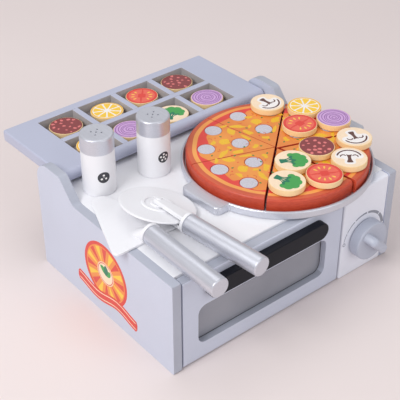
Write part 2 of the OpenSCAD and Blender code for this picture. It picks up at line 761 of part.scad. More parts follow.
module at_cutter() {
  centred() translate([cutter_front[0], cutter_front[1], cutter_z]) rotate([0, 0, cutter_yaw])
    rotate([cutter_pitch, 0, 0]) rotate([0, cutter_roll, 0]) children();
}
module cutter_handle() at_cutter() tool_handle(cutter_l);
module cutter_fork() {
  root = cutter_l + collar_l - 0.5;
  side = edge_normal([0, root], arm_half, [0, wheel_at], tip_half);
  outline = concat([[-arm_half, root], [arm_half, root]],
    arc([0, wheel_at], tip_half, side, 180 - side, 14));
  at_cutter() color(white) difference() {
    union() {
      translate([0, 0, slot_half]) slab(outline, arm_t, 0.3, edge_r);
      mirror([0, 0, 1]) translate([0, 0, slot_half]) slab(outline, arm_t, 0.3, edge_r);
      collar(cutter_l);
    }
    translate([0, wheel_at, -20]) cylinder(r = axle_r + glue_gap, h = 40);
  }
}
module cutter_wheel() {
  // From the hub outwards: recess, ridge, groove and the flat that thins to the rim
  upper = [[0, hub_t / 2], [7, hub_t / 2], [7, rim_t / 2 - 0.4], [12.2, rim_t / 2 - 0.4],
           [12.8, rim_t / 2 + 0.7], [15.2, rim_t / 2 + 0.7], [16, rim_t / 2 - 0.3],
           [21.4, rim_t / 2 - 0.3], [22.2, rim_t / 2], [wheel_r - 2, rim_t / 2], [wheel_r, 0.6]];
  lower = [for (i = [len(upper) - 1:-1:0]) [upper[i][0], -upper[i][1]]];
  at_cutter() translate([0, wheel_at, 0]) color(white) difference() {
    rotate_extrude($fn = 96) polygon(concat(upper, lower));
    translate([0, 0, -hub_t]) cylinder(r = axle_r + turn_gap, h = 2 * hub_t);
  }
}
module cutter_axle() {
  outer = slot_half + arm_t;
  at_cutter() translate([0, wheel_at, 0]) color(silver) rotate_extrude() polygon([
    [0, -outer - 1], [2.2, -outer - 1], [3.2, -outer], [axle_r, -outer], [axle_r, outer],
    [3.2, outer], [2.2, outer + 1], [0, outer + 1]]);
}

left_side_panel();
right_side_panel();
base_board();
top_board();
back_panel();
divider_panel();
control_panel();
assembly_dowels();
door_hinge_pins();
lid_pivot_dowels();
catch_magnets();
door_frame();
door_window();
window_retainer();
door_handle();
handle_screws();
strike_plates();
knob();
knob_shaft();
knob_washer();
knob_screw();
lid_frame();
lid_dividers();
lid_floor();
pizza_pan();
salt_body();
salt_cap();
pepper_body();
pepper_cap();
server_blade();
server_handle();
cutter_fork();
cutter_wheel();
cutter_axle();
cutter_handle();
for (s = SLICES) slice(s);
for (t = SERVED) served_topping(t);
for (t = STORED) stored_topping(t);
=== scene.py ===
"""The look of the toy oven: finishes, softened edges, printed food and the studio around it."""
import json
import math
import random

import bmesh
import bpy
from mathutils import Matrix, Vector


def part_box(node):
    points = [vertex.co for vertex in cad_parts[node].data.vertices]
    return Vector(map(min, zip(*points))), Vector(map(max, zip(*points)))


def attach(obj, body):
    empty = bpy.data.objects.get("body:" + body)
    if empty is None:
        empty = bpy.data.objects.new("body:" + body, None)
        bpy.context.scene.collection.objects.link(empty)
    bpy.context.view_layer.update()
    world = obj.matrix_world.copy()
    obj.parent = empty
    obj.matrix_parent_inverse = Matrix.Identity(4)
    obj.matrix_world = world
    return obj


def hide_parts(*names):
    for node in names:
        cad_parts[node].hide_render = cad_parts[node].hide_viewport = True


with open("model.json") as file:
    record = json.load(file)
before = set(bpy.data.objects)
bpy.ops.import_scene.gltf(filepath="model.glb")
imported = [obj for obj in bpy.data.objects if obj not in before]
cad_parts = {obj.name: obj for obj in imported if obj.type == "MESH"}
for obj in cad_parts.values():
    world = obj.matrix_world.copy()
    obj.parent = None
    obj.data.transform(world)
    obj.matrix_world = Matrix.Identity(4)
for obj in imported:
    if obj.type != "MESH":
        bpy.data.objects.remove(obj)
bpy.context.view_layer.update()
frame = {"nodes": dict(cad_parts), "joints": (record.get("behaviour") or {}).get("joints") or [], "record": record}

MM = 0.001
RECORD = frame["record"]
SLOT_OF = {s["node"]: s["material_slot"] for s in RECORD["subparts"]}
BODY_OF = {node: body for body, nodes in RECORD["behaviour"]["bodies"].items() for node in nodes}
JOINT_OF = {joint["child"]: joint for joint in frame["joints"]}
SLICES = sorted(node for node in frame["nodes"] if node.startswith("slice"))
TOPPINGS = sorted(node for node in frame["nodes"] if BODY_OF[node] == node and node not in SLICES)


# ---- Materials ----

class Shader:
    """A node material, built by plain calls. A value is a number or another node's socket."""

    def __init__(self, name):
        self.material = bpy.data.materials.new(name)
        self.material.use_nodes = True
        self.tree = self.material.node_tree
        self.surface = self.tree.nodes["Principled BSDF"]
        self.place = self.node("ShaderNodeTexCoord").outputs["Object"]

    def node(self, kind, values=None, **settings):
        made = self.tree.nodes.new(kind)
        for key, value in settings.items():
            setattr(made, key, value)
        for key, value in (values or {}).items():
            self.feed(made.inputs[key], value)
        return made

    def feed(self, socket, value):
        if isinstance(value, bpy.types.NodeSocket):
            self.tree.links.new(value, socket)
        elif isinstance(value, (tuple, list)) and len(value) == 3 and socket.type == "RGBA":
            socket.default_value = (*value, 1.0)
        else:
            socket.default_value = value

    def set(self, **values):
        for key, value in values.items():
            self.feed(self.surface.inputs[key.replace("_", " ")], value)

    def math(self, operation, a, b=0.0):
        return self.node("ShaderNodeMath", {0: a, 1: b}, operation=operation).outputs[0]

    def stretched(self, scale):
        """The place scaled by its own factor along each axis."""
        return self.node("ShaderNodeMapping", {"Vector": self.place, "Scale": scale}).outputs[0]

    def noise(self, scale, detail=2.0, place=None, rough=0.5):
        return self.node("ShaderNodeTexNoise", {"Vector": place or self.place, "Scale": scale,
                                                "Detail": detail, "Roughness": rough}).outputs["Fac"]

    def mix(self, factor, a, b):
        made = self.node("ShaderNodeMix", data_type="RGBA")
        self.feed(made.inputs["Factor"], factor)
        self.feed(made.inputs["A"], a)
        self.feed(made.inputs["B"], b)
        return made.outputs["Result"]

    def steps(self, value, low, high, new_low=0.0, new_high=1.0):
        """value mapped from low..high to new_low..new_high, and held there."""
        return self.node("ShaderNodeMapRange", {"Value": value, "From Min": low, "From Max": high,
                                                "To Min": new_low, "To Max": new_high}).outputs[0]

    def bump(self, height, depth):
        """Relief of depth metres under height 0..1."""
        made = self.node("ShaderNodeBump", {"Height": height, "Distance": depth, "Strength": 1.0})
        self.surface.inputs["Normal"].default_value = (0, 0, 0)
        self.tree.links.new(made.outputs[0], self.surface.inputs["Normal"])


def srgb(r, g, b):
    """A linear colour from screen values 0..255."""
    return tuple((c / 255 / 12.92 if c <= 10 else ((c / 255 + 0.055) / 1.055) ** 2.4) for c in (r, g, b))


def shade(colour, factor):
    return tuple(min(1.0, c * factor) for c in colour)


GRAIN = (60, 900, 900)  # Scale of the painted wood's grain, which runs along X


def paint(name, colour, rough=0.42, mottle=0.04, relief=0.00003, coat=0.0, shine=0.5):
    """Brushed or sprayed paint on wood: faint mottling, and the grain showing through as relief."""
    s = Shader(name)
    cloud = s.noise(14.0, 3.0)
    fine = s.noise(1.0, 4.0, s.stretched(GRAIN))
    tone = s.mix(s.steps(cloud, 0.3, 0.7), shade(colour, 1 - mottle), shade(colour, 1 + mottle * 0.6))
    tone = s.mix(s.steps(fine, 0.35, 0.75, 0.0, 0.5), tone, shade(colour, 1 - 1.4 * mottle))
    s.set(Base_Color=tone, Roughness=s.steps(cloud, 0.2, 0.8, rough - 0.05, rough + 0.07),
          Coat_Weight=coat, Coat_Roughness=0.25, Specular_IOR_Level=shine)
    s.bump(fine, relief)
    return s.material


def silver(name, colour, axis):
    """Metallic silver paint with streaks of wood grain along axis (0, 1 or 2)."""
    s = Shader(name)
    stretch = [900.0, 900.0, 900.0]
    stretch[axis] = 45.0
    streaks = s.noise(1.0, 5.0, s.stretched(stretch), 0.65)
    flakes = s.noise(5200.0, 1.0)
    cloud = s.noise(25.0, 2.0)
    tone = s.mix(s.steps(streaks, 0.3, 0.7), shade(colour, 0.94), shade(colour, 1.04))
    tone = s.mix(s.steps(flakes, 0.55, 0.8, 0.0, 0.4), tone, shade(colour, 1.3))
    s.set(Base_Color=tone, Metallic=0.7, Roughness=s.steps(cloud, 0.3, 0.7, 0.34, 0.42))
    s.bump(streaks, 0.000012)
    return s.material


def ink(name, colour):
    """Printing ink under a thin lacquer: a slight grain in the tone."""
    s = Shader(name)
    grain = s.noise(900.0, 3.0)
    cloud = s.noise(110.0, 2.0)
    tone = s.mix(s.steps(grain, 0.3, 0.7), shade(colour, 0.93), shade(colour, 1.05))
    tone = s.mix(s.steps(cloud, 0.35, 0.7, 0.0, 0.35), tone, shade(colour, 0.88))
    s.set(Base_Color=tone, Roughness=s.steps(grain, 0.3, 0.7, 0.33, 0.43),
          Coat_Weight=0.15, Coat_Roughness=0.3)
    s.bump(grain, 0.00001)
    return s.material


def felt(name, colour):
    """Looped textile of the hook-and-loop pads."""
    s = Shader(name)
    loops = s.noise(2600.0, 3.0, rough=0.7)
    cells = s.node("ShaderNodeTexVoronoi", {"Vector": s.place, "Scale": 1500.0}).outputs["Distance"]
    tone = s.mix(s.steps(loops, 0.35, 0.65), shade(colour, 0.72), shade(colour, 1.15))
    s.set(Base_Color=tone, Roughness=0.95, Sheen_Weight=0.3, Sheen_Roughness=0.5)
    s.bump(s.math("ADD", loops, cells), 0.00025)
    return s.material


def steel(name):
    """Drawn steel of the screws and pins."""
    s = Shader(name)
    streaks = s.noise(1.0, 4.0, s.stretched((200, 2500, 2500)))
    s.set(Base_Color=s.mix(streaks, (0.45, 0.45, 0.47), (0.62, 0.62, 0.64)), Metallic=1.0,
          Roughness=s.steps(streaks, 0.3, 0.7, 0.28, 0.42))
    s.bump(streaks, 0.00001)
    return s.material


def pane(name):
    """Clear plastic sheet with faint haze, seen against the dark oven space."""
    s = Shader(name)
    haze = s.noise(18.0, 2.0)
    fine = s.noise(700.0, 2.0)
    s.set(Base_Color=s.mix(haze, srgb(166, 168, 179), srgb(198, 199, 208)),
          Roughness=s.steps(haze, 0.3, 0.7, 0.1, 0.2), Alpha=0.52, IOR=1.49)
    s.bump(fine, 0.000004)
    return s.material


def bare_wood(name, colour):
    s = Shader(name)
    rings = s.noise(1.0, 5.0, s.stretched((40, 700, 700)), 0.6)
    s.set(Base_Color=s.mix(s.steps(rings, 0.3, 0.7), shade(colour, 0.72), colour), Roughness=0.6)
    s.bump(rings, 0.00005)
    return s.material


# Where the sauce, the gold ring and the crust begin on a slice, in metres from the pizza's middle, and how
# far each border strays
RINGS = ((0.0702, 0.034), (0.0776, 0.002), (0.0820, 0.002))
RING_BLUR = 0.0004


def pizza_print(name, centre):
    """Slice finish: brick sides, and on top a crust ring, a gold ring, wavy sauce and cheese."""
    s = Shader(name)
    split = s.node("ShaderNodeSeparateXYZ", {"Vector": s.place})
    x = s.math("SUBTRACT", split.outputs[0], centre[0])
    y = s.math("SUBTRACT", split.outputs[1], centre[1])
    radius = s.math("SQRT", s.math("ADD", s.math("MULTIPLY", x, x), s.math("MULTIPLY", y, y)))
    wave = s.math("SUBTRACT", s.noise(42.0, 0.0), 0.5)
    broad = s.steps(s.noise(28.0, 1.0), 0.35, 0.65)
    grain = s.noise(1.0, 4.0, s.stretched((220, 220, 900)))
    brick = s.mix(s.steps(grain, 0.3, 0.7), srgb(186, 62, 38), srgb(206, 80, 50))
    crust = s.mix(broad, srgb(196, 82, 52), srgb(206, 94, 58))
    gold = s.mix(broad, srgb(232, 150, 70), srgb(240, 166, 84))
    sauce = s.mix(broad, srgb(216, 58, 52), srgb(228, 70, 60))
    top = s.mix(broad, srgb(224, 130, 58), srgb(234, 150, 66))
    for (begin, stray), tone in zip(RINGS, (sauce, gold, crust)):
        border = s.math("ADD", radius, s.math("MULTIPLY", wave, stray))
        top = s.mix(s.steps(border, begin, begin + RING_BLUR), top, tone)
    normal = s.node("ShaderNodeNewGeometry").outputs["Normal"]
    up = s.node("ShaderNodeSeparateXYZ", {"Vector": normal}).outputs[2]
    s.set(Base_Color=s.mix(s.steps(up, 0.86, 0.96), brick, top),
          Roughness=s.steps(grain, 0.3, 0.7, 0.4, 0.52), Coat_Weight=0.12, Coat_Roughness=0.35)
    s.bump(grain, 0.00004)
    return s.material


BODY_GREY = srgb(201, 206, 222)
LID_GREY = srgb(183, 187, 207)
WHITE = srgb(236, 236, 240)
SILVER = srgb(208, 210, 219)
FINISHES = {
    "body_paint": paint("body_paint", BODY_GREY, mottle=0.03),
    "lid_paint": paint("lid_paint", LID_GREY, mottle=0.03),
    "panel_paint": paint("panel_paint", srgb(232, 234, 244), rough=0.36, mottle=0.02, coat=0.1),
    "white_paint": paint("white_paint", WHITE, rough=0.36, mottle=0.02, coat=0.1),
    "silver_paint": silver("silver_paint", SILVER, 1),
    "beech": bare_wood("beech", srgb(214, 178, 128)),
    "steel": steel("steel"),
    "clear_pane": pane("clear_pane"),
    "grey_plastic": paint("grey_plastic", srgb(128, 130, 138), rough=0.5),
    "black_paint": paint("black_paint", srgb(18, 20, 29), rough=0.4, mottle=0.15, shine=0.2),
    "knob_paint": paint("knob_paint", srgb(182, 187, 202), rough=0.38, mottle=0.05, coat=0.15),
    "divider_paint": paint("divider_paint", LID_GREY, mottle=0.03),
    # Grey-brown painted shade on the side walls of the lid's compartments and its dividers
    "cell_wall_shade": paint("cell_wall_shade", srgb(176, 172, 174), rough=0.6, mottle=0.08),
    # The body grey made darker: painted shade on the side panels' edge faces and the door frame's top face
    "shaded_edge_grey": paint("shaded_edge_grey", srgb(176, 180, 193), mottle=0.05),
    "lid_floor_paint": paint("lid_floor_paint", srgb(140, 134, 136), mottle=0.08, rough=0.55),
    "topping_wood": paint("topping_wood", srgb(248, 216, 164), rough=0.5, mottle=0.05, relief=0.00006),
    "felt": felt("felt", srgb(206, 204, 214)),
}
INKS = {
    "cream": ink("ink_cream", srgb(251, 225, 194)),
    "milk": ink("ink_milk", srgb(246, 242, 240)),
    "brown": ink("ink_brown", srgb(98, 62, 54)),
    "green": ink("ink_green", srgb(62, 160, 76)),
    "deep_green": ink("ink_deep_green", srgb(14, 118, 86)),
    "red": ink("ink_red", srgb(226, 64, 52)),
    "salmon": ink("ink_salmon", srgb(238, 104, 84)),
    "seed": ink("ink_seed", srgb(250, 204, 84)),
    "gold": ink("ink_gold", srgb(248, 190, 36)),
    "yellow": ink("ink_yellow", srgb(250, 204, 60)),
    "lilac": ink("ink_lilac", srgb(208, 168, 218)),
    "purple": ink("ink_purple", srgb(140, 86, 158)),
    "maroon": ink("ink_maroon", srgb(136, 56, 58)),
    "pink": ink("ink_pink", srgb(228, 124, 122)),
    "orange": ink("ink_orange", srgb(240, 146, 62)),
    "butter": ink("ink_butter", srgb(236, 186, 36)),
    "herb": ink("ink_herb", srgb(52, 130, 62)),
    "rust": ink("ink_rust", srgb(206, 84, 50)),
    "dark": ink("ink_dark", srgb(52, 52, 58)),
    "grey": ink("ink_grey", srgb(140, 144, 156)),
}


# ---- CAD pieces with softened edges ----

DOUBLED, DEGENERATE = 2e-5, 1e-5  # Points, and edges, as close or short as this in metres are merged
FLAT = math.radians(2)  # Faces within this angle become one
SHARP = math.radians(34)  # Edges over this angle are softened
PAD_LIMIT = 0.02  # A solid narrower than this in a slice or topping is a hook pad


def clean_mesh(node):
    """The node's mesh with its doubled points merged and its flat faces made whole."""
    bm = bmesh.new()
    bm.from_mesh(frame["nodes"][node].data)
    bmesh.ops.remove_doubles(bm, verts=bm.verts, dist=DOUBLED)
    bmesh.ops.dissolve_degenerate(bm, edges=bm.edges, dist=DEGENERATE)
    bmesh.ops.dissolve_limit(bm, angle_limit=FLAT, verts=bm.verts, edges=bm.edges)
    return bm


def islands(bm):
    """The mesh's separate solids, each a list of faces."""
    left, found = set(bm.faces), []
    while left:
        stack = [left.pop()]
        group = list(stack)
        while stack:
            for edge in stack.pop().edges:
                for face in edge.link_faces:
                    if face in left:
                        left.remove(face)
                        stack.append(face)
                        group.append(face)
        found.append(group)
    return found


def dress(node, bevel, finish=None, pads=False, second=None, broad=None):
    """Shows a node as a cleaned copy whose sharp edges are softened by bevel, in millimetres.

    With pads, its small solids are felt. second is another finish and the test for its faces.
    broad tells the sharp edges that are softened in full, while the others get a quarter of bevel.
    """
    bm = clean_mesh(node)
    if pads:
        for group in islands(bm):
            across = [v.co.x for f in group for v in f.verts]
            for face in group:
                face.material_index = 1 if max(across) - min(across) < PAD_LIMIT else 0
    if second:
        for face in bm.faces:
            face.material_index = 1 if second[1](face) else 0
    if broad:
        weight = bm.edges.layers.float.new("bevel_weight_edge")
        for edge in bm.edges:
            if edge.calc_face_angle(0.0) > SHARP:
                edge[weight] = 1.0 if broad(edge) else 0.25
    mesh = bpy.data.meshes.new(node + "_look")
    bm.to_mesh(mesh)
    bm.free()
    mesh.materials.append(finish or FINISHES[SLOT_OF[node]])
    if pads or second:
        mesh.materials.append(FINISHES["felt" if pads else second[0]])
    for polygon in mesh.polygons:
        polygon.use_smooth = True
    for name in ("custom_normal", "sharp_edge", "sharp_face"):
        if name in mesh.attributes:
            mesh.attributes.remove(mesh.attributes[name])
    mesh.set_sharp_from_angle(angle=SHARP)
    piece = bpy.data.objects.new(node + "_look", mesh)
    bpy.context.scene.collection.objects.link(piece)
    if bevel:
        soft = piece.modifiers.new("softened", "BEVEL")
        soft.width, soft.segments = bevel * MM, 3 if broad else 2
        soft.limit_method, soft.angle_limit = "WEIGHT" if broad else "ANGLE", SHARP
        soft.use_clamp_overlap = True
    flat = piece.modifiers.new("flat_faces", "WEIGHTED_NORMAL")
    flat.keep_sharp, flat.weight = True, 100
    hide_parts(node)
    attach(piece, BODY_OF[node])


# ---- Printing: flat shapes in (u, v) millimetres, laid on a surface ----

def point(r, a, centre=(0, 0)):
    return (centre[0] + r * math.cos(math.radians(a)), centre[1] + r * math.sin(math.radians(a)))


def disc(r, centre=(0, 0), n=40, rings=1, squeeze=1.0):
    """A disc; with rings it is cut into bands that can follow a curved surface."""
    def at(k, i):
        a = 2 * math.pi * i / n
        return (centre[0] + r * k / rings * math.cos(a), centre[1] + squeeze * r * k / rings * math.sin(a))
    faces = [[at(1, i) for i in range(n)]]
    for k in range(1, rings):
        faces += [[at(k, i), at(k + 1, i), at(k + 1, i + 1), at(k, i + 1)] for i in range(n)]
    return faces


def band(r0, r1, a0=0, a1=360, centre=(0, 0), n=48):
    """Part of a ring from radius r0 to r1; each may be a function of the share run."""
    def size(r, t):
        return r(t) if callable(r) else r
    faces = []
    for i in range(n):
        t, u = i / n, (i + 1) / n
        a, b = a0 + (a1 - a0) * t, a0 + (a1 - a0) * u
        faces.append([point(size(r0, t), a, centre), point(size(r1, t), a, centre),
                      point(size(r1, u), b, centre), point(size(r0, u), b, centre)])
    return faces


def smooth(points, n=6):
    """A closed smooth outline through the points."""
    count, out = len(points), []
    for i in range(count):
        p = [Vector(points[(i + k) % count]) for k in (-1, 0, 1, 2)]
        for j in range(n):
            t = j / n
            out.append(tuple(0.5 * (2 * p[1] + (p[2] - p[0]) * t
                                    + (2 * p[0] - 5 * p[1] + 4 * p[2] - p[3]) * t * t
                                    + (3 * p[1] - p[0] - 3 * p[2] + p[3]) * t ** 3)))
    return [out]


END_SHARE = 0.45  # Width of a stroke's ends as a share of its width


def line(points, width):
    """A stroke of that width along the points, thinner to its ends."""
    pts = [Vector(p) for p in points]
    rows = []
    for i, p in enumerate(pts):
        along = (pts[min(i + 1, len(pts) - 1)] - pts[max(i - 1, 0)]).normalized()
        half = width / 2 * (END_SHARE if i in (0, len(pts) - 1) else 1.0)
        side = Vector((-along.y, along.x)) * half
        rows.append((tuple(p - side), tuple(p + side)))
    return [[a[0], b[0], b[1], a[1]] for a, b in zip(rows, rows[1:])]


def arc_points(r, a0, a1, n=16, centre=(0, 0), squeeze=1.0):
    return [(centre[0] + r * math.cos(math.radians(a0 + (a1 - a0) * i / n)),
             centre[1] + squeeze * r * math.sin(math.radians(a0 + (a1 - a0) * i / n))) for i in range(n + 1)]


def seed(r, a, length, width):
    """A teardrop that points to the middle, at radius r in direction a."""
    shape = [(-length / 2, 0), (0, -width / 2), (length / 2 - width / 3, -width / 2.2),
             (length / 2, 0), (length / 2 - width / 3, width / 2.2), (0, width / 2)]
    c, s = math.cos(math.radians(a)), math.sin(math.radians(a))
    return smooth([(c * (r + u) - s * v, s * (r + u) + c * v) for u, v in shape], 3)


def moved(faces, turn=0.0, at=(0, 0)):
    c, s = math.cos(math.radians(turn)), math.sin(math.radians(turn))
    return [[(at[0] + c * u - s * v, at[1] + s * u + c * v) for u, v in f] for f in faces]


SUNK, FILM, LAYER = -0.04, 0.03, 0.02  # Ink's underside, its first layer's top, and each more layer, in mm


def printed(name, body, place, shapes, slot):
    """Thin layers of ink. shapes lists (faces, ink, layer); place maps (u, v, height) in mm to a point."""
    mesh = bpy.data.meshes.new(name)
    inks = sorted({colour for _, colour, _ in shapes})
    for colour in inks:
        mesh.materials.append(INKS[colour])
    points, faces, colours = [], [], []
    for shape, colour, layer in shapes:
        index, low, high = {}, SUNK, FILM + LAYER * layer
        flat = []
        for face in shape:
            corners = []
            for u, v in face:
                key = (round(u, 3), round(v, 3))
                if key not in index:
                    index[key] = len(points)
                    points += [place(u, v, low), place(u, v, high)]
                if not corners or index[key] != corners[-1]:
                    corners.append(index[key])
            area = sum(face[i - 1][0] * face[i][1] - face[i][0] * face[i - 1][1] for i in range(len(face)))
            flat.append(corners if area > 0 else corners[::-1])
        edges = {(a, b) for f in flat for a, b in zip(f, f[1:] + f[:1])}
        made = [[i + 1 for i in f] for f in flat] + [f[::-1] for f in flat]
        made += [[a, b, b + 1, a + 1] for a, b in sorted(edges) if (b, a) not in edges]
        faces += made
        colours += [inks.index(colour)] * len(made)
    mesh.from_pydata([tuple(p) for p in points], [], faces)
    mesh.polygons.foreach_set("material_index", colours)
    mesh.validate()
    piece = bpy.data.objects.new(name, mesh)
    bpy.context.scene.collection.objects.link(piece)
    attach(piece, body)


# ---- Pictures on the toppings ----

FACE_R = 16.9  # Radius of the flat on a topping, in millimetres


def mushroom_face():
    """A mushroom cut through, with its gills and stalk in brown."""
    cap = smooth([(-13.4, 1.6), (-11.8, 8.2), (-6.2, 12.6), (1, 13.8), (8.4, 11.6), (13, 6.2), (13.9, 1.2),
                  (11.2, -2), (6.8, -2.4), (5.2, -4.4), (5.2, -10), (0, -12.2), (-5.2, -10.2),
                  (-5, -4.2), (-7, -2.2), (-11.2, -1.8)])
    shapes = [(disc(FACE_R), "cream", 0), (cap, "milk", 1)]
    shapes.append((line(arc_points(11.7, 170, 12, 18, (0, 0.7), 0.98), 1.8), "brown", 2))
    for s in (-1, 1):
        curl = [(s * 8.6, 0.4), (s * 8.2, 2.8), (s * 6.2, 4.3), (s * 4, 3.6), (s * 3.2, 2.4)]
        shapes.append((line(curl, 1.6), "brown", 2))
    shapes.append((smooth([(-2.7, 4.6), (0, 4), (2.7, 4.6), (1.7, 0.8), (1.8, -3.5), (3, -8.4), (0, -9.2),
                           (-3, -8.4), (-1.8, -3.5), (-1.7, 0.8)]), "brown", 2.5))
    return shapes


def broccoli_face():
    """A crown of round lobes, each (u, v, radius), on a forked stem with pale slits."""
    crown = [(-6.6, 5, 5), (-2.6, 9, 4.9), (3.4, 9.2, 4.9), (7.8, 5.2, 4.9), (9, 0.6, 3.6), (-8.6, 0, 3.6),
             (0.6, 3.6, 6.6)]
    shapes = [(disc(FACE_R), "cream", 0)]
    shapes += [(disc(r, (u, v), 20), "green", 1 + 0.3 * i) for i, (u, v, r) in enumerate(crown)]
    stem = smooth([(-3.6, -12.4), (0, -13), (3.4, -12.4), (2.7, -7.4), (4.6, -3.6), (8, -0.8), (6.4, 0.8),
                   (3.4, -0.6), (1.6, 2.6), (-0.4, 2.6), (-2.6, -0.4), (-6, 1), (-7.6, -0.4), (-4.4, -3.6),
                   (-3, -7.4)], 4)
    shapes.append((stem, "deep_green", 4))
    for low, high in (((-1.4, -6), (-2.9, -2.2)), ((0.4, -5.6), (0.4, -1.6)), ((2, -5.8), (3.7, -2.4))):
        middle = tuple((a + b) / 2 for a, b in zip(low, high))
        shapes.append((line([low, middle, high], 0.8), "cream", 5))
    return shapes


def tomato_face():
    """Seeds round the middle, with none beside the wall that crosses the face."""
    shapes = [(disc(FACE_R), "red", 0), (disc(14.2), "salmon", 1)]
    shapes += [(seed(9.6, a, 4.6, 1.7), "seed", 3) for a in range(15, 360, 30) if a % 180 not in (165, 15)]
    shapes.append((line([(-14.2, 0), (-8, 0.5), (0, 0), (8, -0.5), (14.2, 0)], 2.1), "red", 2))
    shapes.append((smooth([point(5.2 if k % 2 else 4.1, 45 * k) for k in range(8)]), "red", 2.6))
    return shapes


def lemon_face():
    """Nine segments with rounded outer ends."""
    shapes = [(disc(FACE_R), "gold", 0), (disc(15.3), "milk", 1)]
    segments = 9
    wide = 360 / segments
    for k in range(segments):
        a = wide * k
        outline = [point(2.6, a), point(8, a - wide * 0.36), point(13.4, a - wide * 0.41)]
        outline += arc_points(14.5, a - wide * 0.34, a + wide * 0.34, 5)
        outline += [point(13.4, a + wide * 0.41), point(8, a + wide * 0.36)]
        shapes.append(([outline], "yellow", 2))
    return shapes


def onion_face():
    """Rings, each a little off the middle."""
    shapes = [(disc(FACE_R), "lilac", 0)]
    for k, r in enumerate((2.2, 4.6, 7.2, 9.8, 12.4, 14.8)):
        lean = (0.5 * math.cos(k * 2.1), 0.5 * math.sin(k * 2.1))
        shapes.append((band(r - 0.4, r + 0.4, 0, 360, lean, 40), "purple", 1))
    return shapes


def salami_face(key):
    """Scattered specks of fat, in the key's own layout."""
    rnd = random.Random(key)
    shapes, spots = [(disc(FACE_R), "maroon", 0)], []
    count, spread, apart = 15, 14.2, 5.2
    while len(spots) < count:
        u, v = point(spread * math.sqrt(rnd.random()), rnd.random() * 360)
        if all(math.hypot(u - a, v - b) > apart for a, b in spots):
            spots.append((u, v))
            size, turn = rnd.uniform(0.9, 1.7), rnd.random() * 360
            spot = smooth([point(size * rnd.uniform(0.75, 1.25), 60 * k) for k in range(6)], 3)
            shapes.append((moved([[(p[0] * 1.35, p[1]) for p in spot[0]]], turn, (u, v)), "pink", 1))
    return shapes


def top_of(node):
    """Matrix of a piece's upper face: its middle, with Z along the way that the piece lifts off."""
    turn = Vector((0, 0, 1)).rotation_difference(Vector(JOINT_OF[node]["axis"])).to_matrix().to_4x4()
    back = turn.inverted()
    places = [back @ v.co for v in frame["nodes"][node].data.vertices]
    middle = [(min(p[k] for p in places) + max(p[k] for p in places)) / 2 for k in (0, 1)]
    return turn @ Matrix.Translation((*middle, max(p.z for p in places)))


# Direction of each picture's top, in degrees from the right, seen from above
FACING = {
    "mushroom_1": -84, "mushroom_2": -109, "mushroom_3": 50, "broccoli_1": -28, "broccoli_2": -70,
    "stored_broccoli": 40, "tomato_1": 95, "tomato_2": 62, "stored_tomato": 140,
    "lemon": 10, "stored_lemon_1": 25, "stored_lemon_2": 0,
}
FACES = {"mushroom": mushroom_face, "broccoli": broccoli_face, "tomato": tomato_face,
         "lemon": lemon_face, "onion": onion_face}


def topping(node):
    dress(node, 0.0, FINISHES["topping_wood"], pads=True)
    kind = next(k for k in (*FACES, "salami") if k in node)
    shapes = salami_face(node) if kind == "salami" else FACES[kind]()
    turn = FACING.get(node, 0) - 90
    shapes = [(moved(faces, turn), colour, layer) for faces, colour, layer in shapes]
    top = top_of(node)
    printed(node + "_print", BODY_OF[node], lambda u, v, h: top @ Vector((u * MM, v * MM, h * MM)),
            shapes, SLOT_OF[node])


# ---- Slices ----

FIRST_CUT = 41  # Direction of the first cut, in degrees
SLICE_ANGLE = 60
CUT_SHIFT = 0.5  # How far each slice stands out from where its two cuts would meet, in millimetres

# Melted patches on a slice: place along and across it, half sizes, and turn in degrees
PATCHES = [(19, 1.5, 5.2, 2.6, 70), (30.5, -12.5, 7.6, 2.5, -38), (34.5, 14.5, 6.2, 3.6, 35),
           (51.5, -0.5, 6.4, 5.0, 10), (46.5, -20, 7.6, 3.8, -60), (49, 21, 8.0, 3.0, 70),
           (61.5, 3, 2.3, 4.4, 0), (56, -29, 4.8, 2.3, 40), (44, 9.5, 3.4, 1.9, -20)]
# Herbs and curls: place and turn. Chillies: place
HERBS = [(14, 0.5, 20), (26, -7.5, 100), (42.5, 13, 40), (56, -9.5, 150), (59, 26, 80), (38, -21, 10),
         (30, 5, 60)]
CURLS = [(27, 1, 200), (43.5, -3, 320), (55, 15.5, 90), (66, -1.5, 180)]
CHILLIES = [(25, 6.5), (45, -11.5), (57.5, 10), (40, 22), (64, -29), (61, -6)]


def patch(u, v, long, wide, turn, rnd):
    """An uneven rounded patch."""
    shape = [(long * rnd.uniform(0.62, 1.25) * math.cos(a), wide * rnd.uniform(0.6, 1.3) * math.sin(a))
             for a in (2 * math.pi * k / 9 for k in range(9))]
    return moved(smooth(shape, 4), turn, (u, v))


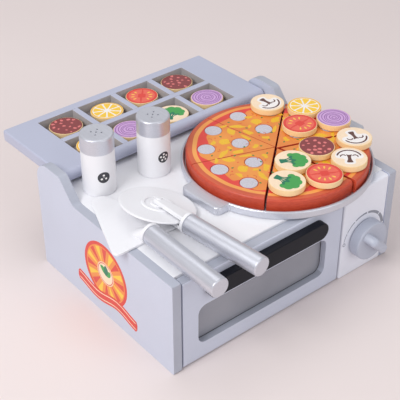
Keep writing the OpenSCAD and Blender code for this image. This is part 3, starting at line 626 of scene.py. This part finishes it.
def slice_piece(node):
    """A slice of the turned pizza, printed from where its two cuts would meet."""
    middle = math.radians(FIRST_CUT + SLICE_ANGLE * (SLICES.index(node) + 0.5))
    out = Vector((math.cos(middle), math.sin(middle)))
    across = Vector((-math.sin(middle), math.cos(middle)))
    points = [v.co.xy for v in frame["nodes"][node].data.vertices]
    width = [p.dot(across) for p in points]
    centre = out * (min(p.dot(out) for p in points) - CUT_SHIFT * MM) + across * (min(width) + max(width)) / 2
    dress(node, 0.9, pizza_print("print_of_" + node, centre), pads=True)
    turn = Matrix.Translation((*centre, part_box(node)[1].z)) @ Matrix.Rotation(middle, 4, "Z")
    rnd = random.Random(7)
    shapes = [(patch(*values, rnd), "butter", k % 3) for k, values in enumerate(PATCHES)]
    leaf = [[(-1.5, -0.4), (-0.1, -0.95), (1.5, -0.3), (0.7, 0.95), (-0.9, 0.7)]]
    shapes += [(moved(leaf, turned, (u, v)), "herb", 3) for u, v, turned in HERBS]
    shapes += [(disc(0.9, at, 9, squeeze=0.8), "red", 3) for at in CHILLIES]
    shapes += [(line(arc_points(2.3, a, a + 150, 8, (u, v)), 0.55), "rust", 4) for u, v, a in CURLS]
    printed(node + "_print", node, lambda u, v, h: turn @ Vector((u * MM, v * MM, h * MM)), shapes,
            SLOT_OF[node])


# ---- Marks on the body ----

# Dial segments: first and last direction, and the width at each, clockwise
DIAL = [(172, 151, 0.7, 0.9), (149, 122, 0.9, 1.3), (119, 86, 1.5, 2.1), (83, 45, 2.5, 3.2),
        (42, 11, 3.3, 3.8)]
DIAL_R = 28.8  # Their outer radius


def dial_marks():
    """Five widening segments and a ring mark round the knob."""
    low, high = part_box("knob")
    centre = Vector(((low.x + high.x) / 2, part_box("control_panel")[0].y, (low.z + high.z) / 2))

    def place(u, v, h):
        return centre + Vector((u, -h, v)) * MM
    shapes = [(band(1.2, 2.0, centre=point(27.7, 177), n=20), "grey", 0)]
    for first, last, thin, wide in DIAL:
        segment = band(lambda t: DIAL_R - thin - (wide - thin) * t, DIAL_R, first, last, n=10)
        shapes.append((segment, "grey", 0))
    printed("dial_marks", "root", place, shapes, "white_paint")


WINDOW_R, LEDGE = 9, 3.9  # The opening's corner radius, and how far the pane runs behind the frame


def pane_gap_shadow():
    """A dark strip on the pane along the window opening: painted shadow of the gap at the pane's edge."""
    low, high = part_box("door_window")
    half = [(high.x - low.x) / 2 / MM - LEDGE, (high.z - low.z) / 2 / MM - LEDGE]
    centre = Vector(((low.x + high.x) / 2, low.y, (low.z + high.z) / 2))

    def outline(inwards):
        found = []
        for k, (s, t) in enumerate(((1, -1), (1, 1), (-1, 1), (-1, -1))):
            corner = (s * (half[0] - WINDOW_R), t * (half[1] - WINDOW_R))
            found += arc_points(WINDOW_R - inwards, 90 * k - 90, 90 * k, 6, corner)
        return found
    outer, inner = outline(-0.3), outline(0.9)
    faces = [[outer[i - 1], outer[i], inner[i], inner[i - 1]] for i in range(len(outer))]
    printed("pane_gap_shadow", "door", lambda u, v, h: centre + Vector((u, -h, v)) * MM, [(faces, "dark", 0)],
            SLOT_OF["door_window"])


def shaker_badge(body_node, facing, rise, dots):
    """A dark round badge with white dots, rise above the shaker's foot, facing that direction."""
    low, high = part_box(body_node)
    axis = Vector(((low.x + high.x) / 2, (low.y + high.y) / 2, 0))
    radius = (high.x - low.x) / 2 / MM
    facing = math.radians(facing)
    height = low.z + rise * MM

    def place(u, v, h):
        a = facing + u / radius
        out = (radius + h) * MM
        return axis + Vector((out * math.cos(a), out * math.sin(a), height + v * MM))
    shapes = [(disc(6.0, n=32, rings=5), "dark", 0)]
    shapes += [(disc(1.1, at, 14), "milk", 1) for at in dots]
    printed(body_node + "_badge", BODY_OF[body_node], place, shapes, SLOT_OF[body_node])


def sun_badge():
    """A sunburst over a wavy band with a sprig, printed on the left side panel."""
    face_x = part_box("left_side_panel")[0].x
    centre = Vector((face_x, -0.004, 0.053))

    def place(u, v, h):
        return centre + Vector((-h, -u, v)) * MM
    radius, rays = 34, 16
    shapes = [(disc(radius, n=72), "orange", 0), (band(radius - 3.6, radius, n=72), "red", 1)]
    for k in range(rays):
        a = 360 / rays * k
        tip = [point(29.2, a - 7), point(29.2, a + 7), point(13.5, a + 2.4), point(13.5, a - 2.4)]
        shapes.append(([tip], "yellow" if k % 2 else "red", 1))
    shapes.append((disc(13, n=40), "cream", 2))
    shapes.append((band(11.2, 12.1, n=40), "red", 3))
    leaf = [(0, -1.5), (3.6, 1.5), (4.5, 5.4), (2.7, 8.8), (0, 9.9), (-1.6, 6.6), (-2, 2.7)]
    for turn, colour, layer in ((-52, "green", 3), (0, "deep_green", 3.5), (52, "green", 3)):
        shapes.append((moved(smooth(leaf, 4), turn), colour, layer))
    wave = [(u, 3.0 * math.sin(u / 10.5)) for u in range(-48, 49, 2)]
    shapes.append((moved(line(wave, 13), 0, (0, -31)), "red", 4))
    for v in (-34.6, -27.4):
        shapes.append((moved(line(wave[1:-1], 1.1), 0, (0, v)), "cream", 5))
    printed("sun_badge", "root", place, shapes, "body_paint")


# ---- The whole object ----

# Softening of each node's sharp edges in millimetres. 0.0 is for nodes whose solids have their roundings
BEVELS = {"left_side_panel": 1.3, "right_side_panel": 1.3, "top_board": 0.5, "back_panel": 1.0,
          "base_board": 0.5, "divider_panel": 0.5, "pizza_pan": 1.2, "lid_dividers": 0.35,
          "lid_floor": 0.2, "knob_washer": 0.2, "server_handle": 0.0, "cutter_handle": 0.0,
          "control_panel": 0.0, "door_frame": 2.4, "door_handle": 0.0, "knob": 0.0, "lid_frame": 0.5,
          "server_blade": 0.0, "cutter_fork": 0.0, "cutter_axle": 0.0, "salt_cap": 0.0, "pepper_cap": 0.0,
          "door_window": 0.0, "assembly_dowels": 0.3, "cutter_wheel": 0.3}
OTHER_BEVEL = 0.25
NODE_FINISH = {"lid_frame": "lid_paint", "control_panel": "panel_paint", "cutter_axle": "white_paint"}


def in_cells(face):
    """Whether a face of the lid's frame is a wall of the compartments."""
    low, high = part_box("lid_dividers")
    middle = face.calc_center_median()
    return (abs(face.normal.z) < 0.7 and low.x - MM < middle.x < high.x + MM
            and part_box("lid_floor")[0].y < middle.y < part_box("lid_floor")[1].y and middle.z > low.z)


def on_door_front(edge):
    """Whether an edge is in the front 2.7 mm of the door's frame."""
    return max(v.co.y for v in edge.verts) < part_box("door_frame")[0].y + 2.7 * MM


def side_edge(face):
    return abs(face.normal.x) < 0.7


# A second finish, and the test for its faces. The compartments' walls get a grey-brown painted shade, and the side
# panels' edges and the door frame's top a darker grey as painted shade.
SECOND = {"lid_frame": ("cell_wall_shade", in_cells),
          "lid_dividers": ("cell_wall_shade", lambda face: face.normal.z < 0.7),
          # Painted shade: a darker body grey on the side panels' edge faces and the door frame's top
          "left_side_panel": ("shaded_edge_grey", side_edge), "right_side_panel": ("shaded_edge_grey", side_edge),
          "door_frame": ("shaded_edge_grey", lambda face: face.normal.z > 0.7)}


def build():
    for node in sorted(frame["nodes"]):
        if node in TOPPINGS:
            topping(node)
        elif node in SLICES:
            slice_piece(node)
        else:
            dress(node, BEVELS.get(node, OTHER_BEVEL), FINISHES.get(NODE_FINISH.get(node)),
                  second=SECOND.get(node), broad=on_door_front if node == "door_frame" else None)
    dial_marks()
    # Painted shadow along the edge of the door's pane
    pane_gap_shadow()
    shaker_badge("salt_body", -107, 21.7, [(0, 2.4), (-2.1, -1.4), (2.1, -1.4)])
    shaker_badge("pepper_body", -91, 22.4, [(0, 0)] + [point(3.3, a) for a in range(18, 360, 72)])
    sun_badge()


build()


# ---- Studio ----

def floor():
    half = 3.0
    mesh = bpy.data.meshes.new("floor")
    corners = [(-half, -half, 0), (half, -half, 0), (half, half, 0), (-half, half, 0)]
    mesh.from_pydata(corners, [], [(0, 1, 2, 3)])
    s = Shader("floor")
    s.set(Base_Color=s.mix(s.noise(3.0), srgb(226, 214, 212), srgb(232, 221, 219)), Roughness=0.8)
    mesh.materials.append(s.material)
    piece = bpy.data.objects.new("floor", mesh)
    bpy.context.scene.collection.objects.link(piece)


def lamp(name, place, aim, power, size, colour=(1, 1, 1)):
    data = bpy.data.lights.new(name, "AREA")
    data.energy, data.size, data.color = power, size, colour
    light = bpy.data.objects.new(name, data)
    light.location = place
    light.rotation_euler = (Vector(aim) - Vector(place)).to_track_quat("-Z", "Y").to_euler()
    bpy.context.scene.collection.objects.link(light)


def studio():
    floor()
    lamp("key", (-1.5, -0.2, 1.5), (0, 0, 0.05), 25, 1.0)
    lamp("fill", (0.2, -2.0, 0.9), (0, 0, 0.05), 9, 1.6, (0.96, 0.98, 1.0))
    lamp("top", (0.3, 0.8, 2.0), (0, 0, 0.05), 7, 1.4)
    world = bpy.data.worlds.new("studio")
    world.use_nodes = True
    background = world.node_tree.nodes["Background"]
    background.inputs["Color"].default_value = (0.93, 0.92, 0.94, 1)
    background.inputs["Strength"].default_value = 0.55
    bpy.context.scene.world = world


def camera():
    """The photograph's view, solved from the body's straight edges."""
    data = bpy.data.cameras.new("camera")
    data.lens, data.sensor_width = 92.164, 36
    data.clip_start, data.clip_end = 0.05, 20
    eye = bpy.data.objects.new("camera", data)
    eye.location = (-0.5386, -0.62945, 0.66726)
    eye.rotation_euler = (math.radians(90 - 35.697), 0, math.radians(-39.341))
    bpy.context.scene.collection.objects.link(eye)
    bpy.context.scene.camera = eye


studio()
camera()
bpy.context.scene.view_settings.view_transform = "Standard"
